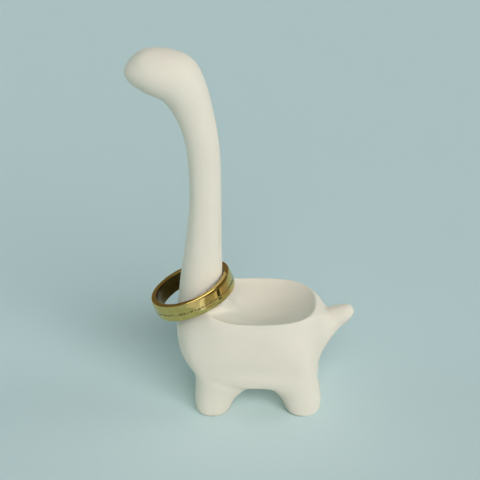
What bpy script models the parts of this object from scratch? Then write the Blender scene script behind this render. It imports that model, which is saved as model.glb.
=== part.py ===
# A long-necked dinosaur figure that holds finger rings, with a plain gold band hung on its neck.
# The figure is one printed piece: a barrel-shaped trunk on four short legs, a tail stub, a tall neck
# that bends over into a rounded head, and a shallow dish sunk into the back. The band is the other piece.
# Frame: metres, +Z up, soles on Z = 0, the head towards -X, the tail towards +X, symmetric about Y = 0.

import math

import bmesh
import bpy
from mathutils import Euler, Vector
from mathutils.bvhtree import BVHTree

MM = 0.001

# Trunk, measured on the finished surface
TRUNK_LENGTH = 36.4 * MM
TRUNK_WIDTH = 27.1 * MM
TRUNK_X = 3.0 * MM
RIM_HEIGHT = 26.4 * MM
BELLY_HEIGHT = 7.6 * MM
# How much higher the belly is between the legs
BELLY_ARCH = 0.4 * MM

# Levels of the trunk's side, going up: the height as a share of belly to rim, the reach of the chest
# and of the rump as shares of half the length, the width as a share of the whole width, and how square
# the level is seen from above, where 2 is an ellipse
TRUNK_LEVEL_SHARES = (
    (0.25, 0.840, 0.945, 0.97, 4.6),
    (0.46, 0.98, 0.995, 1.00, 3.4),
    (0.79, 1.00, 1.01, 0.99, 2.5),
    (0.94, 1.00, 0.98, 0.955, 2.6),
)
PLAN_ANGLES = (0, 16, 42, 68, 90, 112, 138, 162, 180)
BELLY_WIDTH = 24.5 * MM
BELLY_FRONT_X = -10.7 * MM
BELLY_REAR_X = 18.5 * MM

# Legs
LEG_DIAMETER = 9.4 * MM
LEGS_MIDDLE_X = 5.0 * MM
LEG_PITCH_ALONG = 22.1 * MM
LEG_PITCH_ACROSS = 16.0 * MM
ANKLE_HEIGHT = 4.2 * MM
SOLE_ROUNDING = 1.0 * MM
HIP_FILLET = 3.6 * MM
# The hips stand out a little from the legs at the side, and the rear ones are drawn in from the rump
HIP_WIDENING = 0.45 * MM
REAR_HIP_TUCK = 0.7 * MM
# The leg's inner side leans: out towards the other leg at the ankle, in at the sole
LEG_FLARE = 1.6 * MM
LEG_INSTEP = 0.7 * MM

# Dish in the back
DISH_LENGTH = 26.8 * MM
DISH_WIDTH = 22.4 * MM
DISH_X = 4.6 * MM
DISH_DEPTH = 3.2 * MM
DISH_SQUARENESS = 2.6
RIM_ROUNDING = 1.5 * MM
SHOULDER_RISE = 2.5 * MM
# How far each of the dish's loops rises at the shoulder and beside it, as shares of that rise
SHOULDER_SHARES = ((0.62, 0.1), (0.52, 0.12), (0.52, 0.3))
# The last loop before the dish's floor: inset from the edge and drop as shares of the depth
FLOOR_INSET_SHARE = 1.4
FLOOR_DROP_SHARE = 0.72
# The line of points half way in across the dish and the belly: how far out it is and how far it sinks
FLOOR_MIDDLE_SHARE = 0.5
FLOOR_SIDE_SHARE = 0.75
BELLY_MIDDLE_SHARE = 0.29

# Neck and head: height and place of the middle, and the diameter, at stations going up
NECK_DIAMETER = 7.7 * MM
NECK_X = -7.9 * MM
NECK_RISE = 60.0 * MM
HEAD_REACH = 19.0 * MM
NECK_STATION_SHARES = (
    (0.000, 0.075, 1.46),
    (0.090, 0.060, 1.34),
    (0.200, 0.035, 1.21),
    (0.335, 0.010, 1.07),
    (0.475, 0.000, 1.00),
    (0.610, 0.012, 1.03),
    (0.720, 0.055, 1.07),
    (0.815, 0.133, 1.20),
    (0.895, 0.232, 1.39),
    (0.960, 0.360, 1.62),
    (0.985, 0.570, 1.53),
    (0.992, 0.785, 1.26),
)
HEAD_TIP_SHARES = (0.982, 1.03)
NECK_ROOT_HEIGHT = 28.3 * MM
# Where the neck's root meets the trunk, from its middle, as shares of its radius there:
# the side, the front corner and the throat, then the back corner and the nape
ROOT_FRONT_SHARES = ((0.1, 1.42, -0.2), (-0.73, 0.82, -0.27), (-1.0, 0.0, -0.32))
ROOT_BACK_SHARES = ((0.71, 0.71, 0.0), (1.0, 0.0, 0.11))
# The nape's foot in the dish, from the nape, as shares of the same radius: the reach, the drop and the
# width to either side at the rim's crest, at the dish's edge and at its floor
NAPE_FOOT_SHARES = ((0.07, 0.32, 0.78), (0.20, 0.54, 0.74), (0.50, 0.72, 0.50))
NAPE_BEHIND_SHARE = 0.15
# How much of the way up to the shoulder the foot's sides rise
NAPE_SADDLE_SHARE = 0.55

# Tail: stations as shares of its length and of its radius at the root
TAIL_LENGTH = 8.7 * MM
TAIL_RADIUS = 4.1 * MM
TAIL_RISE = 30.0
TAIL_ROOT_X = 20.9 * MM
TAIL_ROOT_HEIGHT = 20.0 * MM
TAIL_TOP_HEIGHT = 24.3 * MM
TAIL_UNDER_HEIGHT = 14.9 * MM
TAIL_SHARES = ((0.40, 0.76), (0.62, 0.64), (0.85, 0.48), (1.0, 0.27))

# Finger ring
BAND_BORE = 18.0 * MM
BAND_WALL = 1.6 * MM
BAND_WIDTH = 4.4 * MM
BAND_EDGE = 0.25 * MM
BAND_TILT = 22.0
BAND_CLEARANCE = 0.3 * MM
BAND_STEPS = 64

SMOOTHING_LEVEL = 2
FITTING_ROUNDS = 3
HALVINGS = 16
MERGE = 0.01 * MM


def clear_scene():
    for item in list(bpy.data.objects):
        bpy.data.objects.remove(item)


def material(name, colour, roughness, metallic):
    made = bpy.data.materials.new(name)
    made.use_nodes = True
    shader = made.node_tree.nodes["Principled BSDF"]
    shader.inputs["Base Color"].default_value = (*colour, 1)
    shader.inputs["Roughness"].default_value = roughness
    shader.inputs["Metallic"].default_value = metallic
    return made


def add_object(name, mesh, finish):
    mesh.materials.append(finish)
    made = bpy.data.objects.new(name, mesh)
    bpy.context.scene.collection.objects.link(made)
    return made


# The figure's cage is one half, Y >= 0, of quads. Its half loops have nine points, from the
# rump's middle (0) round the side (4) to the chest's middle (8).


def plan_point(angle, front, rear, half_width, height, squareness):
    """A point of a level loop: a superellipse from front to rear seen from above."""
    power = 2 / squareness
    along = math.copysign(abs(math.cos(angle)) ** power, math.cos(angle))
    across = abs(math.sin(angle)) ** power if angle < math.pi - 1e-6 else 0.0
    middle, half_length = (front + rear) / 2, (rear - front) / 2
    return Vector((middle + half_length * along, half_width * across, height))


def plan_loop(front, rear, half_width, height, squareness=2):
    return [plan_point(math.radians(a), front, rear, half_width, height, squareness) for a in PLAN_ANGLES]


def add_loop(bm, points):
    return [bm.verts.new(p) for p in points]


def skin(bm, loop, following, skipped=()):
    """Quads between two half loops of as many points."""
    for i in range(len(loop) - 1):
        if i not in skipped:
            bm.faces.new((loop[i], loop[i + 1], following[i + 1], following[i]))


def add_floor(bm, loop, sink, inner_share, skipped=()):
    """Closes a nine-point half loop with a grid of quads, leaving out the corners a leg grows from.
    Returns the three vertices of the grid's line beside the middle."""
    sides = []
    middles = []
    for i in (3, 4, 5):
        edge = loop[i].co
        sides.append(bm.verts.new((edge.x, edge.y * inner_share, edge.z - FLOOR_SIDE_SHARE * sink)))
        middles.append(bm.verts.new((edge.x, 0, edge.z - sink)))
    quads = {
        "rear": (loop[0], loop[1], sides[0], middles[0]),
        "rear_corner": (loop[1], loop[2], loop[3], sides[0]),
        "rear_side": (sides[0], loop[3], loop[4], sides[1]),
        "rear_middle": (middles[0], sides[0], sides[1], middles[1]),
        "front_side": (sides[1], loop[4], loop[5], sides[2]),
        "front_middle": (middles[1], sides[1], sides[2], middles[2]),
        "front_corner": (sides[2], loop[5], loop[6], loop[7]),
        "front": (middles[2], sides[2], loop[7], loop[8]),
    }
    for name, quad in quads.items():
        if name not in skipped:
            bm.faces.new(quad)
    return sides


def belly_loop():
    """The lowest loop, which runs through the outer corners of the legs' openings."""
    raised = BELLY_HEIGHT + HIP_FILLET / 2
    loop = plan_loop(BELLY_FRONT_X, BELLY_REAR_X, BELLY_WIDTH / 2, BELLY_HEIGHT)
    loop[0].z = loop[8].z = raised
    loop[4].z += BELLY_ARCH
    corner = LEG_DIAMETER / 2 * math.sqrt(0.5)
    y = LEG_PITCH_ACROSS / 2
    side = y + corner + HIP_WIDENING
    for toward, tuck, corners in ((1, REAR_HIP_TUCK, (1, 2, 3)), (-1, 0, (7, 6, 5))):
        x = LEGS_MIDDLE_X + toward * LEG_PITCH_ALONG / 2
        end = x + toward * corner - tuck
        loop[corners[0]] = Vector((end, y - corner - HIP_FILLET / 3, raised))
        loop[corners[1]] = Vector((end, side, raised))
        loop[corners[2]] = Vector((x - toward * (corner + HIP_FILLET), BELLY_WIDTH / 2, BELLY_HEIGHT))
    return loop


def trunk_loops():
    half_length = TRUNK_LENGTH / 2
    loops = [belly_loop()]
    for rise, chest, rump, width, squareness in TRUNK_LEVEL_SHARES:
        height = BELLY_HEIGHT + rise * (RIM_HEIGHT - BELLY_HEIGHT)
        front, rear = TRUNK_X - chest * half_length, TRUNK_X + rump * half_length
        loops.append(plan_loop(front, rear, width * TRUNK_WIDTH / 2, height, squareness))
    return loops


def leg_ring(x, radius, height, toward):
    """Four points round a leg's axis, at its corners, in the order of the trunk's leg opening."""
    y = LEG_PITCH_ACROSS / 2
    reach = radius * math.sqrt(0.5)
    inward = reach + LEG_FLARE * height / ANKLE_HEIGHT - LEG_INSTEP
    return [
        Vector((x + across * toward, y + reach * sy, height))
        for across, sy in ((reach, -1), (reach, 1), (-inward, 1), (-inward, -1))
    ]


def add_leg(bm, opening, toward):
    """A leg from its four-sided opening in the trunk down to a flat sole. toward is 1 at the tail end."""
    x = LEGS_MIDDLE_X + toward * LEG_PITCH_ALONG / 2
    radius = LEG_DIAMETER / 2
    rings = [
        leg_ring(x, radius, ANKLE_HEIGHT, toward),
        leg_ring(x, radius, SOLE_ROUNDING, toward),
        leg_ring(x, radius - SOLE_ROUNDING, 0, toward),
        leg_ring(x, radius - 2 * SOLE_ROUNDING, 0, toward),
    ]
    above = opening
    for points in rings:
        below = add_loop(bm, points)
        skin(bm, above + above[:1], below + below[:1])
        above = below
    bm.faces.new(above)


def neck_frame(index, middles):
    """The direction up the neck at a station, from its neighbours, and the direction to its nape."""
    before, after = middles[max(index - 1, 0)], middles[min(index + 1, len(middles) - 1)]
    up = (after - before).normalized()
    return up, Vector((up.z, 0, -up.x))


def neck_stations():
    """The middle and radius at each station, and the tip of the head last."""
    rows = [
        (Vector((NECK_X - reach * HEAD_REACH, 0, NECK_ROOT_HEIGHT + rise * NECK_RISE)), size)
        for rise, reach, size in NECK_STATION_SHARES
    ]
    rise, reach = HEAD_TIP_SHARES
    tip = Vector((NECK_X - reach * HEAD_REACH, 0, NECK_ROOT_HEIGHT + rise * NECK_RISE))
    return rows, tip


def add_neck(bm, root):
    """Half rings of five points, nape first and throat last, up the neck and round the head."""
    rows, tip = neck_stations()
    middles = [row[0] for row in rows] + [tip]
    below = root
    for index in range(1, len(rows)):
        middle, size = rows[index]
        up, nape = neck_frame(index, middles)
        radius = size * NECK_DIAMETER / 2
        points = []
        for step in range(5):
            angle = step * math.pi / 4
            across = radius * math.sin(angle) if step < 4 else 0.0
            points.append(middle + radius * math.cos(angle) * nape + Vector((0, across, 0)))
        above = add_loop(bm, points)
        skin(bm, below, above)
        below = above
    end = bm.verts.new(tip)
    bm.faces.new((below[0], below[1], below[2], end))
    bm.faces.new((below[2], below[3], below[4], end))


def add_tail(bm, root):
    """Half rings of four points, underside first, from an opening in the rump to a blunt tip."""
    rise = math.radians(TAIL_RISE)
    out = Vector((math.cos(rise), 0, math.sin(rise)))
    up = Vector((-math.sin(rise), 0, math.cos(rise)))
    start = Vector((TAIL_ROOT_X, 0, TAIL_ROOT_HEIGHT))
    before = root
    for reach, size in TAIL_SHARES:
        middle = start + reach * TAIL_LENGTH * out
        radius = size * TAIL_RADIUS
        half = Vector((0, radius * math.sin(math.pi / 3), 0))
        points = (
            middle - radius * up,
            middle - radius / 2 * up + half,
            middle + radius / 2 * up + half,
            middle + radius * up,
        )
        after = add_loop(bm, points)
        skin(bm, before, after)
        before = after
    bm.faces.new(before)


def dish_loops(nape, radius):
    """Three half loops from the rim's crest down to the edge of the dish's floor."""
    rows = (
        (RIM_ROUNDING, 0),
        (0, RIM_ROUNDING / 2),
        (-FLOOR_INSET_SHARE * DISH_DEPTH, FLOOR_DROP_SHARE * DISH_DEPTH),
    )
    loops = []
    for (out, drop), (reach, fall, beside), (rise, before) in zip(rows, NAPE_FOOT_SHARES, SHOULDER_SHARES):
        front, rear = DISH_X - DISH_LENGTH / 2 - out, DISH_X + DISH_LENGTH / 2 + out
        loop = plan_loop(front, rear, DISH_WIDTH / 2 + out, RIM_HEIGHT - drop, DISH_SQUARENESS)
        loop[5].z += SHOULDER_RISE * before
        loop[6].z += SHOULDER_RISE * rise
        loop[8] = nape + radius * Vector((reach, 0, -fall))
        saddle = NAPE_SADDLE_SHARE * (loop[6].z - loop[8].z)
        loop[7] = loop[8] + Vector((-NAPE_BEHIND_SHARE * radius, beside * radius, saddle))
        loops.append(loop)
    return loops


def figure_cage():
    bm = bmesh.new()
    loops = trunk_loops()
    rows, _ = neck_stations()
    middle, size = rows[0]
    radius = size * NECK_DIAMETER / 2
    front = [middle + radius * Vector(place) for place in ROOT_FRONT_SHARES]
    front[0].z += SHOULDER_RISE / 2
    loops[-1][6:] = front
    loops[-1][5].z += SHOULDER_RISE / 8
    for level, height in ((2, TAIL_UNDER_HEIGHT), (3, TAIL_TOP_HEIGHT)):
        for point in loops[level][:2]:
            point.z = height
    nape_side, nape = (middle + radius * Vector(place) for place in ROOT_BACK_SHARES)
    rings = [add_loop(bm, points) for points in loops]
    napes = add_loop(bm, (nape_side, nape))
    for level in range(len(rings) - 1):
        skin(bm, rings[level], rings[level + 1], skipped=(0,) if level == 2 else ())
    add_tail(bm, [rings[2][0], rings[2][1], rings[3][1], rings[3][0]])
    add_neck(bm, [napes[1], napes[0], rings[-1][6], rings[-1][7], rings[-1][8]])
    edge = rings[-1][:7] + napes
    for points in dish_loops(nape, radius):
        inner = add_loop(bm, points)
        skin(bm, edge, inner)
        edge = inner
    add_floor(bm, edge, (1 - FLOOR_DROP_SHARE) * DISH_DEPTH, FLOOR_MIDDLE_SHARE)
    belly = rings[0]
    corners = ("rear_corner", "front_corner")
    under = add_floor(bm, belly, 0, BELLY_MIDDLE_SHARE, skipped=corners)
    add_leg(bm, [belly[1], belly[2], belly[3], under[0]], 1)
    add_leg(bm, [belly[7], belly[6], belly[5], under[2]], -1)
    bmesh.ops.mirror(bm, geom=bm.verts[:] + bm.edges[:] + bm.faces[:], axis="Y", merge_dist=MERGE)
    bmesh.ops.recalc_face_normals(bm, faces=bm.faces[:])
    return bm


def smoothed_place(vertex):
    """Where a Catmull-Clark surface of quads passes this corner of its cage."""
    count = len(vertex.link_edges)
    near = sum((edge.other_vert(vertex).co for edge in vertex.link_edges), Vector())
    far = Vector()
    for face in vertex.link_faces:
        corners = list(face.verts)
        far += corners[(corners.index(vertex) + 2) % 4].co
    return (count * count * vertex.co + 4 * near + far) / (count * (count + 5))


def fit_cage(bm):
    """Moves the cage out until the smooth surface passes through the points it was drawn with."""
    drawn = [v.co.copy() for v in bm.verts]
    for _ in range(FITTING_ROUNDS):
        places = [smoothed_place(v) for v in bm.verts]
        for vertex, goal, place in zip(bm.verts, drawn, places):
            sole = goal.z == 0
            vertex.co += goal - place
            if sole:
                vertex.co.z = 0


def build_figure(finish):
    bm = figure_cage()
    fit_cage(bm)
    mesh = bpy.data.meshes.new("figure")
    bm.to_mesh(mesh)
    bm.free()
    mesh.shade_smooth()
    made = add_object("figure", mesh, finish)
    rounding = made.modifiers.new("rounding", "SUBSURF")
    rounding.levels = SMOOTHING_LEVEL
    rounding.render_levels = SMOOTHING_LEVEL
    return made


def build_band(finish):
    """A flat band with eased edges, turned about its own axis and hung aslant on the neck."""
    inner, outer, half = BAND_BORE / 2, BAND_BORE / 2 + BAND_WALL, BAND_WIDTH / 2
    ease = BAND_EDGE
    profile = (
        (inner, -half + ease),
        (inner + ease, -half),
        (outer - ease, -half),
        (outer, -half + ease),
        (outer, half - ease),
        (outer - ease, half),
        (inner + ease, half),
        (inner, half - ease),
    )
    bm = bmesh.new()
    rings = []
    for step in range(BAND_STEPS):
        angle = 2 * math.pi * step / BAND_STEPS
        rings.append(add_loop(bm, [(r * math.cos(angle), r * math.sin(angle), z) for r, z in profile]))
    for step in range(BAND_STEPS):
        ring, following = rings[step], rings[(step + 1) % BAND_STEPS]
        skin(bm, ring + ring[:1], following + following[:1])
    bmesh.ops.recalc_face_normals(bm, faces=bm.faces[:])
    mesh = bpy.data.meshes.new("gold_band")
    bm.to_mesh(mesh)
    bm.free()
    mesh.shade_smooth()
    mesh.set_sharp_from_angle(angle=math.radians(30))
    return add_object("gold_band", mesh, finish)


def least_gap(surface, points, place):
    """The least distance from the points, carried to a place, to a surface, below zero inside it."""
    least = math.inf
    for point in points:
        near, normal, _, away = surface.find_nearest(point + place)
        least = min(least, math.copysign(away, (point + place - near).dot(normal)))
    return least


def moved_toward(surface, points, clear, blocked):
    """The place nearest to the blocked one, on the way from the clear one, that keeps the clearance."""
    for _ in range(HALVINGS):
        middle = (clear + blocked) / 2
        if least_gap(surface, points, middle) < BAND_CLEARANCE:
            blocked = middle
        else:
            clear = middle
    return clear


def hang_band(band, figure):
    """Tilts the band, draws it forward to the nape, lowers it to the shoulders and closes it up."""
    shape = bpy.context.evaluated_depsgraph_get()
    surface = BVHTree.FromObject(figure, shape)
    tilt = Euler((0, -math.radians(BAND_TILT), 0))
    points = [tilt.to_matrix() @ v.co for v in band.data.vertices]
    raised = NECK_ROOT_HEIGHT + BAND_BORE
    forward = Vector((BAND_BORE, 0, 0))
    slack = Vector((BAND_CLEARANCE, 0, 0))
    round_neck = Vector((NECK_X, 0, raised))
    above = moved_toward(surface, points, round_neck, round_neck - forward) + slack
    lowered = moved_toward(surface, points, above, Vector((above.x, 0, 0)))
    place = moved_toward(surface, points, lowered, lowered - 2 * slack)
    band.location = place
    band.rotation_euler = tilt


def centre(figure, band):
    """Puts the middle of the figure's length, head to tail, over the origin."""
    smooth = figure.evaluated_get(bpy.context.evaluated_depsgraph_get()).to_mesh()
    along = [v.co.x for v in smooth.vertices]
    middle = Vector(((min(along) + max(along)) / 2, 0, 0))
    for item in (figure, band):
        item.location -= middle


def main():
    clear_scene()
    figure = build_figure(material("printed_white", (0.78, 0.76, 0.66), 0.85, 0))
    band = build_band(material("gold", (0.80, 0.62, 0.22), 0.2, 1))
    hang_band(band, figure)
    centre(figure, band)


main()
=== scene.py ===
"""Looks of a layer-printed dinosaur ring holder with a gold finger ring on its neck.

Everything is in metres in the row frame: +Z up, soles on Z = 0, head towards -X, tail towards +X.
"""

import math

import bmesh
import bpy
import numpy as np
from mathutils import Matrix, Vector


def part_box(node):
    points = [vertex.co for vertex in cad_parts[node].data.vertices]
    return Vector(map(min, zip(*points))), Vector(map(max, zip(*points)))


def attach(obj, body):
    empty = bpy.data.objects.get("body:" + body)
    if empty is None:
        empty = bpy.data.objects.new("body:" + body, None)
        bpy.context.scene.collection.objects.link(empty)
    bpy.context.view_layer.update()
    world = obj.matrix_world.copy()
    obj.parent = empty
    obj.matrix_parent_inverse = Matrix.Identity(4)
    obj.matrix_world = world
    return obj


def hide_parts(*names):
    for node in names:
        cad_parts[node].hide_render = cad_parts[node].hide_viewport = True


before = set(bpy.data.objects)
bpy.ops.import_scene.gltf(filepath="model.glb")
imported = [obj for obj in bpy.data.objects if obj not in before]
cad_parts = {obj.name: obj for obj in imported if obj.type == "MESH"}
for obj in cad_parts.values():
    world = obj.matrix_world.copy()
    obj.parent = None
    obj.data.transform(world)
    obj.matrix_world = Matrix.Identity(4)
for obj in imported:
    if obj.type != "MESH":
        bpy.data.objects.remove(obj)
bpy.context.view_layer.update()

MM = 0.001

# The figure's trunk: levels give height, chest, rump and width shares and the squareness of the plan
TRUNK_LENGTH, TRUNK_WIDTH, TRUNK_X = 36.4 * MM, 27.1 * MM, 3.0 * MM
RIM_HEIGHT, BELLY_HEIGHT, BELLY_ARCH = 26.4 * MM, 7.6 * MM, 0.4 * MM
TRUNK_LEVELS = (
    (0.25, 0.840, 0.945, 0.97, 4.6),
    (0.46, 0.98, 0.995, 1.00, 3.4),
    (0.79, 1.00, 1.01, 0.99, 2.5),
    (0.94, 1.00, 0.98, 0.955, 2.6),
)
PLAN_ANGLES = np.radians((0, 16, 42, 68, 90, 112, 138, 162, 180))
BELLY_WIDTH, BELLY_FRONT_X, BELLY_REAR_X = 24.5 * MM, -10.7 * MM, 18.5 * MM
BELLY_MIDDLE = 0.29

# Legs, whose rings are square: a corner lies this share of the ring's radius out along either side
LEG_RADIUS, LEGS_MIDDLE_X = 4.7 * MM, 5.0 * MM
LEG_PITCH_ALONG, LEG_PITCH_ACROSS = 22.1 * MM, 16.0 * MM
ANKLE_HEIGHT, SOLE_ROUNDING = 4.2 * MM, 1.0 * MM
HIP_FILLET, HIP_WIDENING, REAR_HIP_TUCK = 3.6 * MM, 0.45 * MM, 0.7 * MM
LEG_FLARE, LEG_INSTEP = 1.6 * MM, 0.7 * MM
CORNER = math.sqrt(0.5)

# Dish in the back, with the rise of its loops at the shoulder and beside it as shares
DISH_LENGTH, DISH_WIDTH, DISH_X, DISH_DEPTH = 26.8 * MM, 22.4 * MM, 4.6 * MM, 3.2 * MM
DISH_SQUARENESS = 2.6
RIM_ROUNDING, SHOULDER_RISE = 1.5 * MM, 2.5 * MM
FLOOR_INSET, FLOOR_DROP, FLOOR_MIDDLE, FLOOR_SIDE = 1.4, 0.72, 0.5, 0.75
SHOULDER_RISES = ((0.62, 0.1), (0.52, 0.12), (0.52, 0.3))
ROOT_RISES = (0.5, 0.125)

# Neck and head: rise, reach and size of each station, as shares
NECK_RADIUS, NECK_X, NECK_RISE = 3.85 * MM, -7.9 * MM, 60 * MM
HEAD_REACH, NECK_ROOT_HEIGHT = 19 * MM, 28.3 * MM
NECK_STATIONS = np.array((
    (0.000, 0.075, 1.46),
    (0.090, 0.060, 1.34),
    (0.200, 0.035, 1.21),
    (0.335, 0.010, 1.07),
    (0.475, 0.000, 1.00),
    (0.610, 0.012, 1.03),
    (0.720, 0.055, 1.07),
    (0.815, 0.133, 1.20),
    (0.895, 0.232, 1.39),
    (0.960, 0.360, 1.62),
    (0.985, 0.570, 1.53),
    (0.992, 0.785, 1.26),
    (0.982, 1.030, 0.00),
))
ROOT_FRONT = ((0.1, 1.42, -0.2), (-0.73, 0.82, -0.27), (-1, 0, -0.32))
ROOT_BACK = ((0.71, 0.71, 0), (1, 0, 0.11))
NAPE_FOOT = ((0.07, 0.32, 0.78), (0.20, 0.54, 0.74), (0.50, 0.72, 0.50))
NAPE_BEHIND, NAPE_SADDLE = 0.15, 0.55
NECK_POINTS = 5

# Tail: reach and size of each station, as shares, and the points of its half rings, up and across
TAIL_LENGTH, TAIL_RADIUS, TAIL_RISE = 8.7 * MM, 4.1 * MM, math.radians(30)
TAIL_ROOT = (20.9 * MM, 0, 20.0 * MM)
TAIL_TOP_HEIGHT, TAIL_UNDER_HEIGHT = 24.3 * MM, 14.9 * MM
TAIL_STATIONS = ((0.40, 0.76), (0.62, 0.64), (0.85, 0.48), (1.0, 0.27))
TAIL_RING = np.array(((-1, 0), (-0.5, math.sin(math.pi / 3)), (0.5, math.sin(math.pi / 3)), (1, 0)))

# How the figure's skin is made smooth
SEAM = 1e-6
FITTING_ROUNDS = 3
PRINT_SMOOTHING = 4

# Finger ring: its edges are eased, more at the bore, and its outside is crowned
BAND_BORE_RADIUS, BAND_WALL, BAND_WIDTH = 9.0 * MM, 1.6 * MM, 4.4 * MM
BAND_TILT = math.radians(22)
BAND_EASE, BORE_EASE, BAND_CROWN, CROWN_POWER = 0.22 * MM, 0.3 * MM, 0.16 * MM, 4
BAND_STEPS, EASE_POINTS, OUTSIDE_POINTS, BORE_POINTS = 240, 6, 25, 15

# Patterns of noise on each finish: scale in cycles a metre, detail, and roughness where it isn't a half
CLOUD, GRAIN, WAVER = (160.0, 3.0, 0.55), (4200.0, 3.0, 0.6), (300.0, 1.0)
TURNED, SMUDGE, DRIFT, PUNCH = (9000.0, 2.0), (420.0, 3.0, 0.6), (1500.0, 1.0), (2600.0, 2.0, 0.6)
FIBRE = (900.0, 2.0)

# Printed finish: tones, layers and gloss
CLOUD_EDGES = (0.3, 0.7)
PRINT_TONES = ((0.752, 0.702, 0.586, 1), (0.764, 0.714, 0.598, 1))
LAYER_HEIGHT, LAYER_WAVER, LAYER_STEP = 0.12 * MM, 0.02 * MM, 0.04 * MM
LAYER_RISE, LAYER_FALL, LAYER_RELIEF, GRAIN_RELIEF = (0.0, 0.2), (0.8, 1.0), 0.7, 0.2
PRINT_ROUGHNESS, GRAIN_ROUGHNESS, PRINT_SPECULAR = 0.78, 0.12, 0.3

# Gold finish: tones from dull to bright, then of the coppery edge tint (partly wear, partly a painted dark
# reflection), of the painted shade in the bore, and of the punched line
GOLD_TONES = ((0.58, 0.46, 0.145, 1), (0.64, 0.52, 0.18, 1))
# The edge tone is partly wear and partly a painted dark reflection; the bore tone is painted shade
WEAR_AND_REFLECTION_TONE, BORE_SHADE_TONE, PUNCHED_TONE = (0.50, 0.27, 0.07, 1), (0.08, 0.045, 0.012, 1), (0.05, 0.04, 0.02, 1)
TURNED_STRETCH, TURNED_DEPTH, TURNED_RELIEF = (50, 50, 1), 0.004 * MM, 0.25
SMUDGE_EDGES, WEAR_AND_REFLECTION_SMUDGE_EDGES, WEAR_AND_REFLECTION_SHARE = (0.35, 0.7), (0.3, 0.7), 0.4
BORE_EDGES = (BAND_BORE_RADIUS + 0.05 * MM, BAND_BORE_RADIUS + 0.2 * MM)
# Painted shade in the bore: its share, and how much the smudge adds to it
BORE_SHADE_SHARE, BORE_SHADE_SMUDGE = 0.7, 0.4
# Where the edge tint lies: partly wear, partly a painted dark reflection on the band's faces
WEAR_AND_REFLECTION_EDGES = (BAND_WIDTH / 2 - 0.2 * MM, BAND_WIDTH / 2 - 0.05 * MM)
OUTSIDE_EDGES = (BAND_BORE_RADIUS + 1.2 * MM, BAND_BORE_RADIUS + 1.4 * MM)
LINE_DROP, LINE_DRIFT, PUNCH_EDGES = 0.35 * MM, 0.3 * MM, (0.46, 0.54)
LINE_EDGES, LINE_DEPTH, LINE_SHARE = (0.16 * MM, 0.32 * MM), 0.05 * MM, 0.9
GOLD_ROUGHNESS, SMUDGE_ROUGHNESS, LINE_ROUGHNESS, BORE_ROUGHNESS = 0.06, 0.07, 0.25, 0.2

# Backdrop: a round floor of paper, with a painted pool of light near a point in front of the feet
FLOOR_RADII, FLOOR_STEPS = (4.0, 1.0, 0.25), 96
PAPER_TONES, PAINTED_LIGHT_POOL_TONE = ((0.569, 0.696, 0.694, 1), (0.583, 0.714, 0.712, 1)), (0.632, 0.766, 0.754, 1)
LIGHT_POOL_PLACE, LIGHT_POOL_REACH = (0, -0.03, 0), (0.01, 0.07)
PAPER_ROUGHNESS, PAPER_SPECULAR = 0.9, 0.15

# Dome light: each window's azimuth from the front towards +X and elevation in degrees, and its strength
WINDOWS = ((5, 36, 7.1), (35, 27, 8.1), (95, 27, 2.3))
WINDOW_EDGES = (math.cos(math.radians(20)), math.cos(math.radians(3)))
WINDOW_LIGHT, GLOW_LIGHT = (1.0, 0.985, 1.0, 1), (0.74, 1.0, 0.99, 1)
BACKDROP_LIGHT = (0.413, 0.527, 0.527, 1)
GLOW, FILL, GLOW_AZIMUTH, GLOW_SIDES, GLOW_TOP = 1.95, 0.03, 198, (-0.25, 0.2), (0.2, 0.62)

# The room that polished metal mirrors: its walls' colours from a little left of the front (0) round the
# right to behind (1)
ROOM_RADIUS, ROOM_HEIGHT, ROOM_STEPS, ROOM_RINGS = 0.075, 0.15, 64, 16
WALLS_START = 0.35
WALLS = (
    (0.020, (0.41, 0.53, 0.53)),
    (0.040, (0.70, 0.72, 0.80)),
    (0.190, (0.72, 0.74, 0.85)),
    (0.200, (1.15, 1.18, 1.45)),
    (0.245, (1.05, 1.05, 1.25)),
    (0.262, (0.42, 0.38, 0.33)),
    (0.380, (0.44, 0.39, 0.32)),
    (0.402, (0.72, 0.65, 0.53)),
    (0.428, (0.78, 0.70, 0.57)),
    (0.435, (0.02, 0.01, 0.004)),
    (0.477, (0.02, 0.01, 0.004)),
    (0.485, (0.60, 0.50, 0.36)),
    (0.530, (0.42, 0.33, 0.24)),
    (0.622, (0.45, 0.40, 0.33)),
    (0.694, (0.45, 0.56, 0.56)),
)
# Its other parts, between angles in radians: paper low on the right, a dim top and a bright pane in front
LOW_PAPER, LOW_RISE, LOW_SIDE = (0.41, 0.53, 0.53, 1), (-0.17, -0.11), (0.75, 1.0)
DIM_TOP, TOP_RISE = (0.15, 0.105, 0.05, 1), (0.10, 0.24)
BRIGHT_PANE, PANE_FOOT, PANE_HEAD = (4.5, 4.4, 4.0, 1), (0.45, 0.6), (1.2, 1.35)
PANE_LEFT, PANE_RIGHT = (-0.9, -0.6), (0.9, 1.2)

# Camera
CAMERA_TARGET, CAMERA_DISTANCE = (-0.55 * MM, 0, 43.4 * MM), 0.48
CAMERA_ELEVATION = math.radians(26)
LENS_LENGTH, SENSOR_WIDTH, CLIP_START, CLIP_END = 146.5, 36, 0.01, 20


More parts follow.
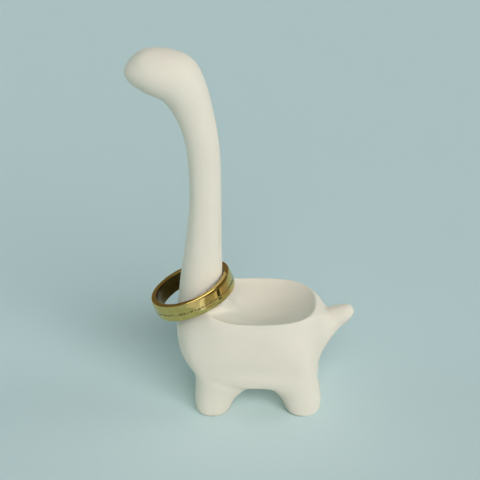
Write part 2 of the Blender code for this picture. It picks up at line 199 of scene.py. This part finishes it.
class Cage:
    """Rows of corner points, numbered as they come, and the quads between them."""

    def __init__(self):
        self.rows, self.quads, self.count = [], [], 0

    def row(self, points):
        points = np.atleast_2d(points)
        self.rows.append(points)
        self.count += len(points)
        return np.arange(self.count - len(points), self.count)

    def skin(self, row, following, skipped=()):
        quads = np.stack((row[:-1], row[1:], following[1:], following[:-1]), axis=1)
        self.quads.append(np.delete(quads, skipped, axis=0))

    def sleeve(self, ring, following):
        self.skin(np.append(ring, ring[0]), np.append(following, following[0]))

    def patch(self, *quads):
        self.quads.append(np.array(quads))

    def mirrored(self):
        """Both halves: each point off the plane Y = 0 gets a twin at -Y, each quad a reversed twin."""
        points, quads = np.concatenate(self.rows), np.concatenate(self.quads)
        off = np.abs(points[:, 1]) > SEAM
        twin = np.arange(len(points))
        twin[off] = len(points) + np.arange(np.count_nonzero(off))
        points = np.concatenate((points, points[off] * (1, -1, 1)))
        return points, np.concatenate((quads, twin[quads][:, ::-1]))


def half_loop(front, rear, half_width, height, squareness=2.0):
    """Level superellipse, rear middle first: x = middle + half length * sgn(cos a) |cos a|^(2/s),
    y = half width * |sin a|^(2/s), over the plan angles a, with s the squareness."""
    power = 2 / squareness
    along = np.copysign(np.abs(np.cos(PLAN_ANGLES)) ** power, np.cos(PLAN_ANGLES))
    across = np.abs(np.sin(PLAN_ANGLES)) ** power
    across[-1] = 0
    x = (front + rear) / 2 + (rear - front) / 2 * along
    return np.stack((x, half_width * across, np.full_like(x, height)), axis=1)


def leg_places():
    """Each leg's side (1 at the tail end), the X of its axis, and the Y of both axes."""
    return [(side, LEGS_MIDDLE_X + side * LEG_PITCH_ALONG / 2, LEG_PITCH_ACROSS / 2) for side in (1, -1)]


def belly_loop():
    """The lowest loop of the trunk, through the outer corners of the legs' openings."""
    raised = BELLY_HEIGHT + HIP_FILLET / 2
    loop = half_loop(BELLY_FRONT_X, BELLY_REAR_X, BELLY_WIDTH / 2, BELLY_HEIGHT)
    loop[[0, 8], 2] = raised
    loop[4, 2] += BELLY_ARCH
    corner = LEG_RADIUS * CORNER
    for (side, x, y), tuck, numbers in zip(leg_places(), (REAR_HIP_TUCK, 0), ([1, 2, 3], [7, 6, 5])):
        end, outside = x + side * corner - tuck, y + corner + HIP_WIDENING
        loop[numbers] = (
            (end, y - corner - HIP_FILLET / 3, raised),
            (end, outside, raised),
            (x - side * (corner + HIP_FILLET), BELLY_WIDTH / 2, BELLY_HEIGHT),
        )
    return loop


def add_floor(cage, loop, points, sink, share, corners=True):
    """Closes a nine-point half loop with a grid of quads between it and the plane Y = 0."""
    side = cage.row(points[3:6] * (1, share, 1) - (0, 0, FLOOR_SIDE * sink))
    middle = cage.row(points[3:6] * (1, 0, 1) - (0, 0, sink))
    cage.patch(
        (loop[0], loop[1], side[0], middle[0]),
        (side[0], loop[3], loop[4], side[1]),
        (middle[0], side[0], side[1], middle[1]),
        (side[1], loop[4], loop[5], side[2]),
        (middle[1], side[1], side[2], middle[2]),
        (middle[2], side[2], loop[7], loop[8]),
    )
    if corners:
        cage.patch((loop[1], loop[2], loop[3], side[0]), (side[2], loop[5], loop[6], loop[7]))
    return side


def add_leg(cage, opening, side, x, y):
    """Four-cornered rings round the leg's axis, narrowing over the rounding to a flat sole."""
    above = opening
    for radius, height in (
        (LEG_RADIUS, ANKLE_HEIGHT),
        (LEG_RADIUS, SOLE_ROUNDING),
        (LEG_RADIUS - SOLE_ROUNDING, 0),
        (LEG_RADIUS - 2 * SOLE_ROUNDING, 0),
    ):
        reach = radius * CORNER
        inward = reach + LEG_FLARE * height / ANKLE_HEIGHT - LEG_INSTEP
        ring = np.array(((reach, -reach), (reach, reach), (-inward, reach), (-inward, -reach)))
        below = cage.row(np.column_stack((ring * (side, 1) + (x, y), np.full(4, height))))
        cage.sleeve(above, below)
        above = below
    cage.patch(above)


def add_neck(cage, root, middles, radii):
    """Half rings about the neck's middle line, square to it: middle + r (nape cos a + Y sin a), with a
    from 0 at the nape to 180 degrees at the throat, closed at the head's tip."""
    up = np.empty_like(middles)
    up[1:-1] = middles[2:] - middles[:-2]
    up[1:-1] /= np.linalg.norm(up[1:-1], axis=1, keepdims=True)
    angle = np.linspace(0, math.pi, NECK_POINTS)
    below = root
    for middle, direction, radius in zip(middles[1:-1], up[1:-1], radii[1:-1]):
        nape = np.array((direction[2], 0, -direction[0]))
        ring = middle + radius * (np.outer(np.cos(angle), nape) + np.outer(np.sin(angle), (0, 1, 0)))
        above = cage.row(ring)
        cage.skin(below, above)
        below = above
    tip = cage.row(middles[-1])[0]
    cage.patch((below[0], below[1], below[2], tip), (below[2], below[3], below[4], tip))


def add_tail(cage, root):
    """Half rings of four points, underside first, along a straight line that rises from the rump."""
    out = np.array((math.cos(TAIL_RISE), 0, math.sin(TAIL_RISE)))
    up = np.array((-math.sin(TAIL_RISE), 0, math.cos(TAIL_RISE)))
    ring = np.outer(TAIL_RING[:, 0], up) + np.outer(TAIL_RING[:, 1], (0, 1, 0))
    before = root
    for reach, size in TAIL_STATIONS:
        after = cage.row(np.array(TAIL_ROOT) + reach * TAIL_LENGTH * out + size * TAIL_RADIUS * ring)
        cage.skin(before, after)
        before = after
    cage.patch(before)


def dish_loop(out, drop, nape, radius, foot, rises):
    """A half loop of the dish, which rises to the shoulders and runs round the nape's foot."""
    front, rear = DISH_X - DISH_LENGTH / 2 - out, DISH_X + DISH_LENGTH / 2 + out
    loop = half_loop(front, rear, DISH_WIDTH / 2 + out, RIM_HEIGHT - drop, DISH_SQUARENESS)
    loop[[6, 5], 2] += SHOULDER_RISE * np.array(rises)
    loop[8] = nape + radius * np.array((foot[0], 0, -foot[1]))
    saddle = NAPE_SADDLE * (loop[6, 2] - loop[8, 2])
    loop[7] = loop[8] + (-NAPE_BEHIND * radius, foot[2] * radius, saddle)
    return loop


def trunk_loops(root, radius):
    """The loops of the trunk's side, going up, the last of which runs into the neck's root."""
    loops = [belly_loop()]
    for level, chest, rump, width, squareness in TRUNK_LEVELS:
        height = BELLY_HEIGHT + level * (RIM_HEIGHT - BELLY_HEIGHT)
        front, rear = TRUNK_X - chest * TRUNK_LENGTH / 2, TRUNK_X + rump * TRUNK_LENGTH / 2
        loops.append(half_loop(front, rear, width * TRUNK_WIDTH / 2, height, squareness))
    loops[-1][6:] = root + radius * np.array(ROOT_FRONT)
    loops[-1][[6, 5], 2] += SHOULDER_RISE * np.array(ROOT_RISES)
    loops[2][:2, 2], loops[3][:2, 2] = TAIL_UNDER_HEIGHT, TAIL_TOP_HEIGHT
    return loops


def figure_cage():
    """The whole figure's corner points and quads: trunk, legs, tail, neck, head and dish."""
    cage = Cage()
    rise, reach, size = NECK_STATIONS.T
    middles = np.stack((NECK_X - reach * HEAD_REACH, 0 * rise, NECK_ROOT_HEIGHT + rise * NECK_RISE), axis=1)
    radii = size * NECK_RADIUS
    root, radius = middles[0], radii[0]
    loops = trunk_loops(root, radius)
    rows = [cage.row(loop) for loop in loops]
    nape = root + radius * np.array(ROOT_BACK)
    napes = cage.row(nape)
    for number, (row, following) in enumerate(zip(rows[:-1], rows[1:])):
        cage.skin(row, following, skipped=[0] if number == 2 else [])
    add_tail(cage, np.array((rows[2][0], rows[2][1], rows[3][1], rows[3][0])))
    add_neck(cage, np.concatenate((napes[::-1], rows[-1][6:])), middles, radii)
    edge = np.concatenate((rows[-1][:7], napes))
    depths = (
        (RIM_ROUNDING, 0),
        (0, RIM_ROUNDING / 2),
        (-FLOOR_INSET * DISH_DEPTH, FLOOR_DROP * DISH_DEPTH),
    )
    for (out, drop), foot, rises in zip(depths, NAPE_FOOT, SHOULDER_RISES):
        points = dish_loop(out, drop, nape[1], radius, foot, rises)
        inner = cage.row(points)
        cage.skin(edge, inner)
        edge = inner
    add_floor(cage, edge, points, (1 - FLOOR_DROP) * DISH_DEPTH, FLOOR_MIDDLE)
    belly = rows[0]
    hips = add_floor(cage, belly, loops[0], 0, BELLY_MIDDLE, corners=False)
    rear, fore = leg_places()
    add_leg(cage, np.array((belly[1], belly[2], belly[3], hips[0])), *rear)
    add_leg(cage, np.array((belly[7], belly[6], belly[5], hips[2])), *fore)
    return cage.mirrored()


def fitted(points, quads):
    """Moves each corner by the distance from its own place on the smooth surface to where it was drawn,
    a few times over. The place is (n^2 v + 4 * edge neighbours + far corners) / (n (n + 5))."""
    corner = quads.ravel()
    before, after, across = (np.roll(quads, turn, axis=1).ravel() for turn in (1, -1, 2))
    faces = np.bincount(corner)[:, None]
    cage, sole = points.copy(), points[:, 2] == 0
    for _ in range(FITTING_ROUNDS):
        sums = np.zeros_like(cage)
        np.add.at(sums, corner, 2 * (cage[before] + cage[after]) + cage[across])
        cage += points - (faces**2 * cage + sums) / (faces * (faces + 5))
        cage[sole, 2] = 0
    return cage


def mesh_from(name, points, quads):
    """A mesh of quads that all face outwards."""
    made = bpy.data.meshes.new(name)
    made.from_pydata(points, [], quads.tolist())
    shape = bmesh.new()
    shape.from_mesh(made)
    bmesh.ops.recalc_face_normals(shape, faces=shape.faces[:])
    shape.to_mesh(made)
    shape.free()
    made.shade_smooth()
    return made


def add_piece(name, mesh, material):
    mesh.materials.append(material)
    made = bpy.data.objects.new(name, mesh)
    bpy.context.scene.collection.objects.link(made)
    return made


def get_points(mesh):
    flat = np.empty(3 * len(mesh.vertices), np.float32)
    mesh.vertices.foreach_get("co", flat)
    return flat.reshape(-1, 3).astype(float)


def smoothed_mesh(name, points, quads, levels):
    """The cage's mesh after that many rounds of Catmull-Clark subdivision."""
    draft = bpy.data.objects.new("draft", mesh_from("draft", points, quads))
    bpy.context.scene.collection.objects.link(draft)
    rounding = draft.modifiers.new("rounding", "SUBSURF")
    rounding.levels = rounding.render_levels = levels
    drawn = draft.evaluated_get(bpy.context.evaluated_depsgraph_get())
    mesh = bpy.data.meshes.new_from_object(drawn)
    mesh.name = name
    mesh.materials.clear()
    bpy.data.objects.remove(draft)
    return mesh


def build_figure(material):
    """The printed figure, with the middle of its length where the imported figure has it."""
    points, quads = figure_cage()
    mesh = smoothed_mesh("printed_figure", fitted(points, quads), quads, PRINT_SMOOTHING)
    places = get_points(mesh)
    low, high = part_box("figure")
    places[:, 0] += (low.x + high.x) / 2 - (places[:, 0].min() + places[:, 0].max()) / 2
    mesh.vertices.foreach_set("co", places.ravel())
    mesh.update()
    return add_piece("printed_figure", mesh, material)


def band_profile():
    """The closed outline (r, z) of the band's wall: the outside is crowned by crown * (z / half width)^4,
    and the corners are quarter circles, wider at the bore."""
    half = BAND_WIDTH / 2
    inner, outer = BAND_BORE_RADIUS, BAND_BORE_RADIUS + BAND_WALL
    corners = (
        (outer - BAND_CROWN - BAND_EASE, -half + BAND_EASE, -90, BAND_EASE),
        (outer - BAND_CROWN - BAND_EASE, half - BAND_EASE, 0, BAND_EASE),
        (inner + BORE_EASE, half - BORE_EASE, 90, BORE_EASE),
        (inner + BORE_EASE, -half + BORE_EASE, 180, BORE_EASE),
    )
    arcs = []
    for across, up, start, size in corners:
        angle = np.radians(np.linspace(0, 90, EASE_POINTS)) + math.radians(start)
        arcs.append((across + size * np.cos(angle), up + size * np.sin(angle)))
    flat = np.linspace(-1, 1, OUTSIDE_POINTS)[1:-1] * (half - BAND_EASE)
    bulge = outer - BAND_CROWN * (flat / (half - BAND_EASE)) ** CROWN_POWER
    bore = np.linspace(half - BORE_EASE, BORE_EASE - half, BORE_POINTS)[1:-1]
    r = np.concatenate((arcs[0][0], bulge, arcs[1][0], arcs[2][0], np.full_like(bore, inner), arcs[3][0]))
    z = np.concatenate((arcs[0][1], flat, arcs[1][1], arcs[2][1], bore, arcs[3][1]))
    return r, z


def build_band(material):
    """The band's profile turned about its tilted axis: centre + tilt * (r cos t, r sin t, z)."""
    r, z = band_profile()
    turn = np.arange(BAND_STEPS) * 2 * math.pi / BAND_STEPS
    across = np.outer(np.cos(turn), r), np.outer(np.sin(turn), r)
    ring = np.stack((*across, np.tile(z, (BAND_STEPS, 1))), axis=2)
    cosine, sine = math.cos(BAND_TILT), math.sin(BAND_TILT)
    tilt = np.array(((cosine, 0, -sine), (0, 1, 0), (sine, 0, cosine)))
    low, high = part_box("gold_band")
    points = ring.reshape(-1, 3) @ tilt.T + np.array((low + high) / 2)
    number = np.arange(BAND_STEPS * len(r)).reshape(BAND_STEPS, len(r))
    onward, up = np.roll(number, -1, axis=0), np.roll(number, -1, axis=1)
    both = np.roll(onward, -1, axis=1)
    quads = np.stack((number, onward, both, up), axis=2).reshape(-1, 4)
    return add_piece("finger_ring", mesh_from("finger_ring", points, quads), material)


class Varied:
    """A number that varies over a surface. Python's operators on it add Math nodes."""

    def __init__(self, finish, socket):
        self.finish, self.socket = finish, socket

    def math(self, operation, *values):
        return self.finish.math(operation, *values)

    def __add__(self, other):
        return self.math("ADD", self, other)

    def __sub__(self, other):
        return self.math("SUBTRACT", self, other)

    def __rsub__(self, other):
        return self.math("SUBTRACT", other, self)

    def __mul__(self, other):
        return self.math("MULTIPLY", self, other)

    def __truediv__(self, other):
        return self.math("DIVIDE", self, other)

    def __rtruediv__(self, other):
        return self.math("DIVIDE", other, self)

    def __neg__(self):
        return self * -1

    def __abs__(self):
        return self.math("ABSOLUTE", self)

    def between(self, start, end):
        """0 at start, 1 at end, smooth between."""
        values = {"Value": self, "From Min": start, "From Max": end}
        return self.finish.node("ShaderNodeMapRange", {"interpolation_type": "SMOOTHSTEP"}, values)

    __radd__ = __add__
    __rmul__ = __mul__


class Finish:
    """The shader of a material or of the world, written as expressions."""

    def __init__(self, owner):
        owner.use_nodes = True
        self.owner, self.tree = owner, owner.node_tree
        self.tree.nodes.clear()

    def node(self, kind, settings=None, values=None, output=0):
        """Adds any node: its settings first, then a value or a link for each named socket."""
        made = self.tree.nodes.new(kind)
        for name, value in (settings or {}).items():
            if name == "stops":
                self.set_stops(made.color_ramp, value)
            else:
                setattr(made, name, value)
        for key, value in (values or {}).items():
            if isinstance(value, Varied):
                self.tree.links.new(value.socket, made.inputs[key])
            else:
                made.inputs[key].default_value = value
        return Varied(self, made.outputs[output]) if made.outputs else None

    def set_stops(self, ramp, stops):
        while len(ramp.elements) < len(stops):
            ramp.elements.new(1)
        for element, (place, colour) in zip(ramp.elements, stops):
            element.position, element.color = place, (*colour, 1)

    def math(self, operation, *values):
        return self.node("ShaderNodeMath", {"operation": operation}, dict(enumerate(values)))

    def vector_math(self, operation, *values):
        """A Vector Math node whose answer is one number, its second output."""
        return self.node("ShaderNodeVectorMath", {"operation": operation}, dict(enumerate(values)), output=1)

    def toward(self, direction, azimuth, elevation):
        """The cosine between a direction and one given in degrees, azimuth from the front towards +X."""
        a, e = math.radians(azimuth), math.radians(elevation)
        aim = (math.sin(a) * math.cos(e), -math.cos(a) * math.cos(e), math.sin(e))
        return self.vector_math("DOT_PRODUCT", direction, aim)

    def mixed(self, share, first, second):
        """A colour that goes from the first to the second."""
        values = {0: share, 6: first, 7: second}
        return self.node("ShaderNodeMix", {"data_type": "RGBA"}, values, output=2)

    def noise(self, where, scale, detail, roughness=0.5):
        values = {"Vector": where, "Scale": scale, "Detail": detail, "Roughness": roughness}
        return self.node("ShaderNodeTexNoise", {}, values)

    def place(self, centre=(0, 0, 0), turn=(0, 0, 0), scale=(1, 1, 1)):
        """Object coordinates, as seen from a centre, with an optional turn and stretch."""
        where = self.node("ShaderNodeTexCoord", output="Object")
        settings = {"vector_type": "TEXTURE"}
        return self.node("ShaderNodeMapping", settings, {0: where, 1: centre, 2: turn, 3: scale})

    def part(self, where, name):
        """One of a place's parts, X, Y or Z."""
        return self.node("ShaderNodeSeparateXYZ", {}, {0: where}, output=name)

    def parts(self, where):
        return [self.part(where, name) for name in "XYZ"]

    def bump(self, height, distance, strength=1.0, under=None):
        values = {"Height": height, "Distance": distance, "Strength": strength}
        if under is not None:
            values["Normal"] = under
        return self.node("ShaderNodeBump", {}, values)

    def surface(self, values):
        shader = self.node("ShaderNodeBsdfPrincipled", {}, values)
        self.node("ShaderNodeOutputMaterial", {}, {0: shader})
        return self.owner


def printed_white():
    """Off-white printed polymer: fine grain, faint cloudy tone, and layers of a tenth of a millimetre,
    whose steps show as contour lines where the surface is nearly level, as in the dish."""
    finish = Finish(bpy.data.materials.new("printed_white_finish"))
    where = finish.place()
    height = finish.part(where, "Z") + LAYER_WAVER * finish.noise(where, *WAVER)
    cloud = finish.noise(where, *CLOUD)
    grain = finish.noise(where, *GRAIN)
    level = finish.math("FRACT", height / LAYER_HEIGHT)
    step = level.between(*LAYER_RISE) * (1 - level.between(*LAYER_FALL))
    values = {
        "Base Color": finish.mixed(cloud.between(*CLOUD_EDGES), *PRINT_TONES),
        "Roughness": PRINT_ROUGHNESS + grain * GRAIN_ROUGHNESS,
        "Specular IOR Level": PRINT_SPECULAR,
        "Normal": finish.bump(grain * GRAIN_RELIEF + step, LAYER_STEP, LAYER_RELIEF),
    }
    return finish.surface(values)


def worn_gold_with_painted_shade(centre):
    """Polished yellow gold: fine turned lines, a coppery edge tint that is partly wear and partly a painted
    dark reflection, a bore painted dark as shade and a punched line.
    """
    finish = Finish(bpy.data.materials.new("worn_gold_painted_shade_finish"))
    turn = (0, -BAND_TILT, 0)
    where = finish.place(tuple(centre), turn)
    x, y, z = finish.parts(where)
    radius = finish.math("SQRT", x * x + y * y)
    lines = finish.noise(finish.place(tuple(centre), turn, TURNED_STRETCH), *TURNED)
    smudge = finish.noise(where, *SMUDGE)
    # The bore's mask: there the gold is painted dark as shade and made rougher
    bore = 1 - radius.between(*BORE_EDGES)
    # Coppery tint near the band's top and bottom faces: partly wear, partly a painted dark reflection
    wear_and_reflection = abs(z).between(*WEAR_AND_REFLECTION_EDGES) * (1 - bore) * smudge.between(*WEAR_AND_REFLECTION_SMUDGE_EDGES)
    drift = z + LINE_DROP + LINE_DRIFT * (finish.noise(where, *DRIFT) - 0.5)
    punched = finish.noise(where, *PUNCH).between(*PUNCH_EDGES)
    groove = radius.between(*OUTSIDE_EDGES) * punched * (1 - abs(drift).between(*LINE_EDGES))
    gold = finish.mixed(smudge.between(*SMUDGE_EDGES), *GOLD_TONES)
    edged = finish.mixed(wear_and_reflection * WEAR_AND_REFLECTION_SHARE, gold, WEAR_AND_REFLECTION_TONE)
    # Painted shade: the bore's gold is mixed towards near black
    bore_shaded = finish.mixed(bore * (BORE_SHADE_SHARE + smudge * BORE_SHADE_SMUDGE), edged, BORE_SHADE_TONE)
    relief = finish.bump(groove, -LINE_DEPTH)
    polish = GOLD_ROUGHNESS + smudge * SMUDGE_ROUGHNESS
    values = {
        "Base Color": finish.mixed(groove * LINE_SHARE, bore_shaded, PUNCHED_TONE),
        "Metallic": 1.0,
        "Roughness": polish + groove * LINE_ROUGHNESS + bore * BORE_ROUGHNESS,
        "Normal": finish.bump(lines, TURNED_DEPTH, TURNED_RELIEF, relief),
    }
    return finish.surface(values)


def backdrop_paper():
    """Pale blue-green paper with a fine fibre and a painted pool of light in front of the feet."""
    finish = Finish(bpy.data.materials.new("backdrop_paper"))
    fibre = finish.noise(finish.place(), *FIBRE)
    away = finish.vector_math("LENGTH", finish.place(LIGHT_POOL_PLACE))
    # Painted light: the paper is lighter near a point in front of the feet
    tone = finish.mixed(away.between(*LIGHT_POOL_REACH), PAINTED_LIGHT_POOL_TONE, finish.mixed(fibre, *PAPER_TONES))
    return finish.surface({
        "Base Color": tone,
        "Roughness": PAPER_ROUGHNESS,
        "Specular IOR Level": PAPER_SPECULAR,
    })


def rings_mesh(name, rings):
    """Quads between closed rings of points, each counted round +Z, and one face across the last ring.
    Rings that go up face outwards, and rings that go inwards on a level face up."""
    number = np.arange(rings.shape[0] * rings.shape[1]).reshape(rings.shape[:2])
    onward = np.roll(number, -1, axis=1)
    quads = np.stack((number[:-1], onward[:-1], onward[1:], number[1:]), axis=2).reshape(-1, 4)
    mesh = bpy.data.meshes.new(name)
    mesh.from_pydata(rings.reshape(-1, 3), [], quads.tolist() + [number[-1].tolist()])
    return mesh


def around(steps):
    """Even angles of one whole turn."""
    return np.arange(steps) * 2 * math.pi / steps


def add_backdrop():
    """A round pale floor: rings of points about the origin, (R cos t, R sin t, 0)."""
    turn = around(FLOOR_STEPS)
    parts = np.outer(FLOOR_RADII, np.cos(turn)), np.outer(FLOOR_RADII, np.sin(turn))
    rings = np.stack((*parts, np.zeros_like(parts[0])), axis=2)
    add_piece("backdrop", rings_mesh("backdrop", rings), backdrop_paper())


def room_light(centre):
    """What polished metal mirrors above the paper: plain walls with a lit strip and a dark doorway to the
    right, more paper low down beside them, a dim brown room above, and a bright pane in front."""
    finish = Finish(bpy.data.materials.new("room_light"))
    x, y, z = finish.parts(finish.place(tuple(centre)))
    azimuth = finish.math("ARCTAN2", x, -y)
    rise = finish.math("ARCTAN2", z, finish.math("SQRT", x * x + y * y))
    round_walls = (azimuth + WALLS_START) / (math.pi + WALLS_START)
    walls = finish.node("ShaderNodeValToRGB", {"stops": WALLS}, {"Fac": round_walls})
    low = finish.mixed((1 - rise.between(*LOW_RISE)) * azimuth.between(*LOW_SIDE), walls, LOW_PAPER)
    room = finish.mixed(rise.between(*TOP_RISE), low, DIM_TOP)
    pane = azimuth.between(*PANE_LEFT) * (1 - azimuth.between(*PANE_RIGHT))
    pane = pane * rise.between(*PANE_FOOT) * (1 - rise.between(*PANE_HEAD))
    return finish.surface({
        "Base Color": (0, 0, 0, 1),
        "Emission Color": finish.mixed(pane, room, BRIGHT_PANE),
        "Emission Strength": 1.0,
    })


def add_room(centre):
    """A dome over the object that only mirror reflections see: (R cos e cos t, R cos e sin t, H sin e)."""
    turn = around(ROOM_STEPS)
    rise = np.arange(ROOM_RINGS)[:, None] * math.pi / 2 / ROOM_RINGS
    parts = (np.cos(rise) * np.cos(turn), np.cos(rise) * np.sin(turn), np.sin(rise) * np.ones_like(turn))
    rings = np.stack(parts, axis=2) * (ROOM_RADIUS, ROOM_RADIUS, ROOM_HEIGHT)
    made = add_piece("room", rings_mesh("room", rings), room_light(centre))
    made.visible_camera = made.visible_diffuse = made.visible_shadow = made.visible_transmission = False


def light_world():
    """Soft dome light: warm windows at the front, the front right and the right, and a cool glow low down
    behind. The camera, mirrors and glass see the backdrop's colour."""
    world = bpy.data.worlds.new("studio")
    bpy.context.scene.world = world
    finish = Finish(world)
    direction = finish.node("ShaderNodeTexCoord", output="Generated")
    behind = finish.toward(direction, GLOW_AZIMUTH, 0).between(*GLOW_SIDES)
    glow = GLOW * behind * (1 - finish.part(direction, "Z").between(*GLOW_TOP))
    windows = 0.0
    for azimuth, elevation, strength in WINDOWS:
        windows = windows + strength * finish.toward(direction, azimuth, elevation).between(*WINDOW_EDGES)
    cool = finish.node("ShaderNodeBackground", {}, {0: GLOW_LIGHT, 1: glow + FILL})
    warm = finish.node("ShaderNodeBackground", {}, {0: WINDOW_LIGHT, 1: windows})
    dome = finish.node("ShaderNodeAddShader", {}, {0: cool, 1: warm})
    seen = finish.node("ShaderNodeBackground", {}, {0: BACKDROP_LIGHT, 1: 1.0})
    rays = [f"Is {kind} Ray" for kind in ("Camera", "Glossy", "Transmission")]
    camera, glossy, through = (finish.node("ShaderNodeLightPath", output=ray) for ray in rays)
    mixed = finish.node("ShaderNodeMixShader", {}, {0: camera + glossy + through, 1: dome, 2: seen})
    finish.node("ShaderNodeOutputWorld", {}, {0: mixed})


def add_camera():
    """The photograph's view: from the figure's side, upright, looking down at 26 degrees."""
    lens = bpy.data.cameras.new("camera")
    lens.lens, lens.sensor_width = LENS_LENGTH, SENSOR_WIDTH
    lens.clip_start, lens.clip_end = CLIP_START, CLIP_END
    made = bpy.data.objects.new("camera", lens)
    back = Vector((0, -math.cos(CAMERA_ELEVATION), math.sin(CAMERA_ELEVATION)))
    made.location = Vector(CAMERA_TARGET) + CAMERA_DISTANCE * back
    made.rotation_euler = (-back).to_track_quat("-Z", "Y").to_euler()
    bpy.context.scene.collection.objects.link(made)
    bpy.context.scene.camera = made


def main():
    figure = build_figure(printed_white())
    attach(figure, "figure")
    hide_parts("figure")
    low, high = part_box("gold_band")
    middle = (low + high) / 2
    band = build_band(worn_gold_with_painted_shade(middle))
    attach(band, "band")
    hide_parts("gold_band")
    add_backdrop()
    add_room(middle)
    light_world()
    add_camera()
    bpy.context.scene.view_settings.view_transform = "Standard"


main()
